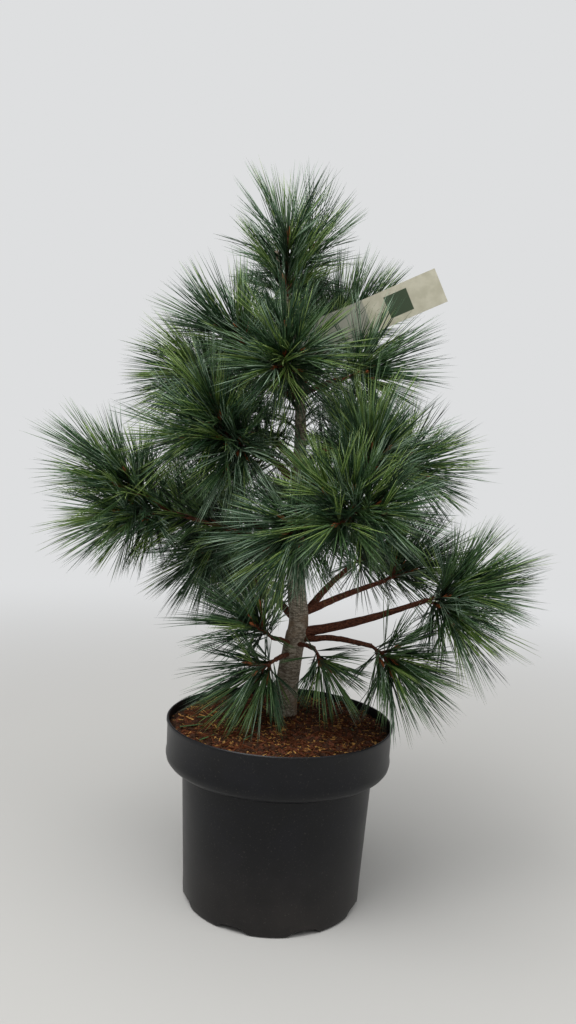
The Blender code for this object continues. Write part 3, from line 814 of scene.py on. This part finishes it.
def fascicles_along(line, density, first_share, widest, narrowest, length_at):
    """Fascicles in a spiral along a line: lists of (base, direction, outward side, length)."""
    length = np.linalg.norm(np.diff(line, axis=0), axis=1).sum()
    count = max(FEWEST_FASCICLES, int(length * (1 - first_share) * density))
    made = []
    turn = rng.uniform(0, math.tau)
    for k in range(count):
        share = (k + 0.5) / count
        place = (first_share + (1 - first_share) * share) * (len(line) - 1)
        i = min(int(place), len(line) - 2)
        base = line[i] + (place - i) * (line[i + 1] - line[i])
        along = unit(line[i + 1] - line[i])
        first, second = perpendicular(along)
        turn += GOLDEN_TURN
        open_degrees = widest - (widest - narrowest) * share**1.4 + rng.normal(0, 10)
        open_angle = math.radians(open_degrees)
        out = math.cos(turn) * first + math.sin(turn) * second
        aim = unit(math.cos(open_angle) * along + math.sin(open_angle) * out)
        size = length_at(base, aim) * rng.uniform(0.86, 1.12)
        side_a, side_b = perpendicular(aim)
        fascicle = []
        for j in range(NEEDLES_PER_FASCICLE):
            ring = math.tau * j / NEEDLES_PER_FASCICLE + turn
            away = math.cos(ring) * side_a + math.sin(ring) * side_b
            direction = unit(aim + math.radians(rng.uniform(1.0, 5.5)) * away)
            fascicle.append((base, direction, away, size * rng.uniform(0.93, 1.05)))
        made.append(fascicle)
    return made


def length_in(tuft):
    """A rule for needle length: shorter where the plain solid is narrow, never clipped to it."""
    def length_at(base, aim):
        free = min(1.0, tuft.reach(base, aim) / NEEDLE_LENGTH)
        return NEEDLE_LENGTH * (SHORTEST_SHARE + SPARE_SHARE * free) * tuft.needle_share
    return length_at


def always(length):
    """A rule for needle length that gives the same one everywhere."""
    return lambda base, aim: length


def blades(needles):
    """Points and triangles of all the needles given."""
    base = np.array([n[0] for n in needles])
    aim = np.array([n[1] for n in needles])
    away = np.array([n[2] for n in needles])
    size = np.array([n[3] for n in needles])[:, None]
    away -= aim * np.sum(away * aim, axis=1, keepdims=True)
    away /= np.linalg.norm(away, axis=1, keepdims=True)
    side = np.cross(aim, away)
    fall = aim * aim[:, 2:3] - UP
    bend = NEEDLE_FALL * fall + rng.normal(0, NEEDLE_BEND, (len(needles), 1)) * away
    rings = []
    for share, width in BLADE_STATIONS:
        centre = base + size * (share * aim + share**2 * bend)
        for corner in BLADE_CORNERS:
            offset = math.cos(corner) * away + math.sin(corner) * side
            rings.append(centre + 0.5 * NEEDLE_WIDTH * width * offset)
    rings.append(base + size * (aim + bend))
    points = np.stack(rings, axis=1).reshape(-1, 3)
    starts = np.arange(len(needles))[:, None, None] * 10
    return points, (BLADE_FACES[None] + starts).reshape(-1, 3)


needles_by_tone = {tone: [] for tone in NEEDLE_TONES}


def deal_out(name, fascicles):
    """Give each fascicle a tone: a tuft leans to one tone, and the rest follow their shares."""
    favourite = rng.choice(len(tone_names), p=tone_shares)
    shares = (1 - FAVOURITE_SHARE) * tone_shares
    shares[favourite] += FAVOURITE_SHARE
    for fascicle in fascicles:
        tone = tone_names[rng.choice(len(tone_names), p=shares)]
        needles_by_tone[tone] += [(name, needle) for needle in fascicle]


for tuft, line in plan:
    narrowest = NARROWEST if tuft.owner else NARROWEST_ON_LEADER
    density = FASCICLES_PER_METRE * tuft.density
    length_at = length_in(tuft)
    grown = fascicles_along(line, density, SHARE_OF_SHOOT_BARE, WIDEST, narrowest, length_at)
    deal_out(tuft.name, grown)
for tuft in tufts:
    if not tuft.owner or limbs[tuft.owner][0][-1].z < LOWEST_CLOTHED_BOUGH:
        continue
    stem = np.array(limbs[tuft.owner][0])
    length_at = always(LENGTH_ON_BOUGH)
    grown = fascicles_along(stem, BOUGH_DENSITY, SHARE_OF_BOUGH_BARE, *ANGLES_ON_BOUGH, length_at)
    deal_out(tuft.name, grown)
leader_stem = np.array([p for p in trunk_line if LEADER_STEM[0] < p.z < LEADER_STEM[1]])
grown = fascicles_along(leader_stem, BOUGH_DENSITY, 0.0, *ANGLES_ON_STEM, always(LENGTH_ON_STEM))
deal_out("needles_leader", grown)
total = 0
for tone, needles in needles_by_tone.items():
    pieces = max(1, math.ceil(len(needles) / MOST_NEEDLES_IN_A_PIECE))
    size = math.ceil(len(needles) / pieces)
    for part in range(pieces):
        chunk = needles[part * size : (part + 1) * size]
        points, faces = blades([needle for _, needle in chunk])
        surface = np.tile(BLADE_SURFACE, len(chunk))
        piece = mesh_piece(f"pine_{tone}_{part + 1}", points, faces, needle_surfaces[tone], surface)
        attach(piece, "root")
        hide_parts(*sorted({name for name, _ in chunk}))
        total += len(chunk)
        print(piece.name, len(faces), "faces")
print("needles", total)

# %% [markdown]
# The shoots themselves are red-brown twigs, each with an orange-brown bud at its tip.

# %% Twigs and buds
twig_bark = new_material("young twig bark", "5e3422", 0.7, 0.3)[0]
bud_scales = new_material("papery bud scales", "a05c36", 0.55, 0.35)[0]
TWIG_RADIUS = 0.0021
BUD_LENGTH = 0.014
BUD_RADIUS = 0.0026
TWIG_SIDES = 7


def bud_arrays(tip, direction):
    """A pointed bud: a short tube that swells and closes."""
    shares = np.linspace(0, 1, 7)
    line = [tip + direction * BUD_LENGTH * (s - 0.1) for s in shares]
    radii = [BUD_RADIUS * max(0.08, math.sin(math.pi * (0.18 + 0.82 * s)) ** 0.8) for s in shares]
    return tube_arrays(line, radii, TWIG_SIDES)


twig_parts, bud_parts = [], []
for tuft, line in plan:
    radii = np.linspace(TWIG_RADIUS, 0.62 * TWIG_RADIUS, len(line))
    twig_parts.append(tube_arrays(line, radii, TWIG_SIDES, bough_relief))
    bud_parts.append(bud_arrays(line[-1], unit(line[-1] - line[-2])))
for name, parts, surface in (("twigs", twig_parts, twig_bark), ("buds", bud_parts, bud_scales)):
    piece = mesh_piece(name, *joined(parts), [surface])
    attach(piece, "root")
    print(name, len(piece.data.polygons), "faces")

# %% [markdown]
# The label is a strip of coated card, bare apart from a plain dark green square. It keeps the
# plain solid's shape and gets a paper colour with faint mottling. Its part towards the trunk is
# greyed by painted shade.

# %% Label
label = nodes["plant_label"]
cloud = np.array([v.co for v in label.data.vertices])
label_middle = cloud.mean(axis=0)
_, _, directions = np.linalg.svd(cloud - label_middle, full_matrices=False)
label_along = directions[0] * np.sign(directions[0][0])
label_across = directions[1] * np.sign(directions[1][2])
label_end = float((cloud @ label_along).max())
label_centre = float(label_middle @ label_across)

PAINTED_SHADE_START = 0.094
PATCH_START, PATCH_END, PATCH_HALF = 0.040, 0.070, 0.014
PATCH_BLUR = 0.6 * MM
card, tree, shader = new_material("coated label card", "cfc398", 0.5, 0.4)
place = object_place(tree)
along = add_node(tree, "ShaderNodeVectorMath", {0: place, 1: tuple(label_along)}, operation="DOT_PRODUCT")
across = add_node(tree, "ShaderNodeVectorMath", {0: place, 1: tuple(label_across)}, operation="DOT_PRODUCT")
from_end = arithmetic(tree, "SUBTRACT", label_end, along.outputs["Value"])
off_centre = arithmetic(tree, "SUBTRACT", across.outputs["Value"], label_centre)
off_size = arithmetic(tree, "ABSOLUTE", off_centre)
mottle = soft_noise(tree, place, 12 * MM, 4.0)
paper = mixed(tree, stepped(tree, mottle, 0.35, 0.65), "aeaa96", "bdb9a6")
# Painted shade: from this distance from the card's end on, towards the trunk, the paper turns grey.
shaded = mixed(tree, stepped(tree, from_end, PAINTED_SHADE_START, PAINTED_SHADE_START + 2 * MM), paper, "8f8f82")
after_start = stepped(tree, from_end, PATCH_START, PATCH_START + PATCH_BLUR)
before_end = stepped(tree, from_end, PATCH_END, PATCH_END - PATCH_BLUR)
near_middle = stepped(tree, off_size, PATCH_HALF, PATCH_HALF - PATCH_BLUR)
between_ends = arithmetic(tree, "MULTIPLY", after_start, before_end)
patch = arithmetic(tree, "MULTIPLY", between_ends, near_middle)
tree.links.new(mixed(tree, patch, shaded, "33422c"), shader.inputs["Base Color"])
label.data.materials.clear()
label.data.materials.append(card)

# %% [markdown]
# The floor is plain and pale, and fades into the surroundings so that no horizon shows. Light
# comes softly from all round, with a large lamp above on the left and a weaker one on the right.

# %% Floor and light
FLOOR_SIZE = 30
FLOOR_GAP = 0.0004
bpy.ops.mesh.primitive_plane_add(size=FLOOR_SIZE, location=(0, 0, -FLOOR_GAP))
floor = bpy.context.object
floor.name = "floor"

SURROUNDINGS = "dcddde"
SEEN_STRENGTH = 1.02
FADE_START, FADE_END = 0.5, 2.6
pale_floor, tree, shader = new_material("pale studio floor", "bdbcb9", 0.8, 0.2)
place = object_place(tree)
from_axis = add_node(tree, "ShaderNodeVectorMath", {0: place}, operation="LENGTH").outputs["Value"]
far_off = stepped(tree, from_axis, FADE_START, FADE_END)
looked_at = add_node(tree, "ShaderNodeLightPath").outputs["Is Camera Ray"]
fade = arithmetic(tree, "MULTIPLY", far_off, looked_at)
haze = add_node(tree, "ShaderNodeEmission", {"Color": linear(SURROUNDINGS), "Strength": SEEN_STRENGTH})
surface = add_node(tree, "ShaderNodeMixShader", {0: fade, 1: shader.outputs[0], 2: haze.outputs[0]})
tree.links.new(surface.outputs[0], tree.nodes["Material Output"].inputs["Surface"])
floor.data.materials.append(pale_floor)

world = bpy.data.worlds.new("soft surroundings")
bpy.context.scene.world = world
world.use_nodes = True
LIGHT_STRENGTH = 0.42
seen = add_node(world.node_tree, "ShaderNodeLightPath").outputs["Is Camera Ray"]
strength = ranged(world.node_tree, seen, LIGHT_STRENGTH, SEEN_STRENGTH)
background = world.node_tree.nodes["Background"]
background.inputs["Color"].default_value = linear(SURROUNDINGS)
world.node_tree.links.new(strength, background.inputs["Strength"])


def soft_light(name, place, size, watts):
    """A square lamp that faces the middle of the plant."""
    lamp = bpy.data.lights.new(name, "AREA")
    lamp.size = size
    lamp.energy = watts
    made = bpy.data.objects.new(name, lamp)
    made.location = place
    made.rotation_mode = "QUATERNION"
    made.rotation_quaternion = (Vector(place) - Vector((0, 0, 0.5))).to_track_quat("Z", "Y")
    bpy.context.scene.collection.objects.link(made)


CEILING_STRENGTH = 1.9
CEILING_SOFTNESS = math.radians(70)
soft_light("key_light", (-0.7, -1.0, 2.2), 1.1, 24)
soft_light("fill_light", (1.4, -0.9, 1.5), 1.4, 8)
sky = bpy.data.lights.new("ceiling_light", "SUN")
sky.energy = CEILING_STRENGTH
sky.angle = CEILING_SOFTNESS
ceiling = bpy.data.objects.new("ceiling_light", sky)
ceiling.rotation_euler = (math.radians(18), math.radians(-8), 0)
bpy.context.scene.collection.objects.link(ceiling)
bpy.context.scene.view_settings.view_transform = "Standard"
